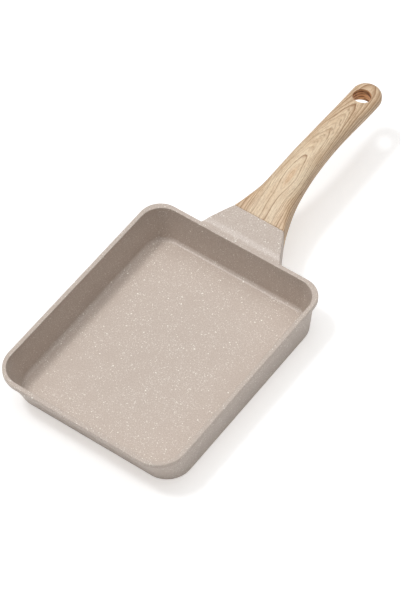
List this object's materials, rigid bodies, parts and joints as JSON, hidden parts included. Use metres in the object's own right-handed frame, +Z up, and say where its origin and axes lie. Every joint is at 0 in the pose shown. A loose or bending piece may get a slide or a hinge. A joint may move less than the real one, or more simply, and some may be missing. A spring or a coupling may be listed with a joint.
{
  "type": "tamagoyaki pan",
  "caption": "Rectangular rolled-omelette pan with a speckled stone-look coating, a sloped front wall and a fixed wood-look handle with a hanging hole.",
  "frame": {"origin": "middle of the flat underside, under the middle of the rim's rectangle; the pan stands on z = 0", "axes": "+Z up out of the pan, +Y from the pan along the handle, +X to the right when the handle points away"},
  "size_m": [0.148, 0.3601, 0.0555],
  "materials": {
    "stone_coating": "cast aluminium under a satin taupe non-stick coating with fine pale speckles",
    "plate_steel": "turned stainless steel",
    "wood_look": "heat-proof moulding with a satin printed ash-wood look",
    "screw_steel": "bright stainless steel"
  },
  "bodies": {
    "root": {"pan_body": "stone_coating", "induction_plate": "plate_steel", "handle": "wood_look", "handle_screw": "screw_steel", "flat_washer": "screw_steel", "spring_washer": "screw_steel"}
  },
  "joints": []
}
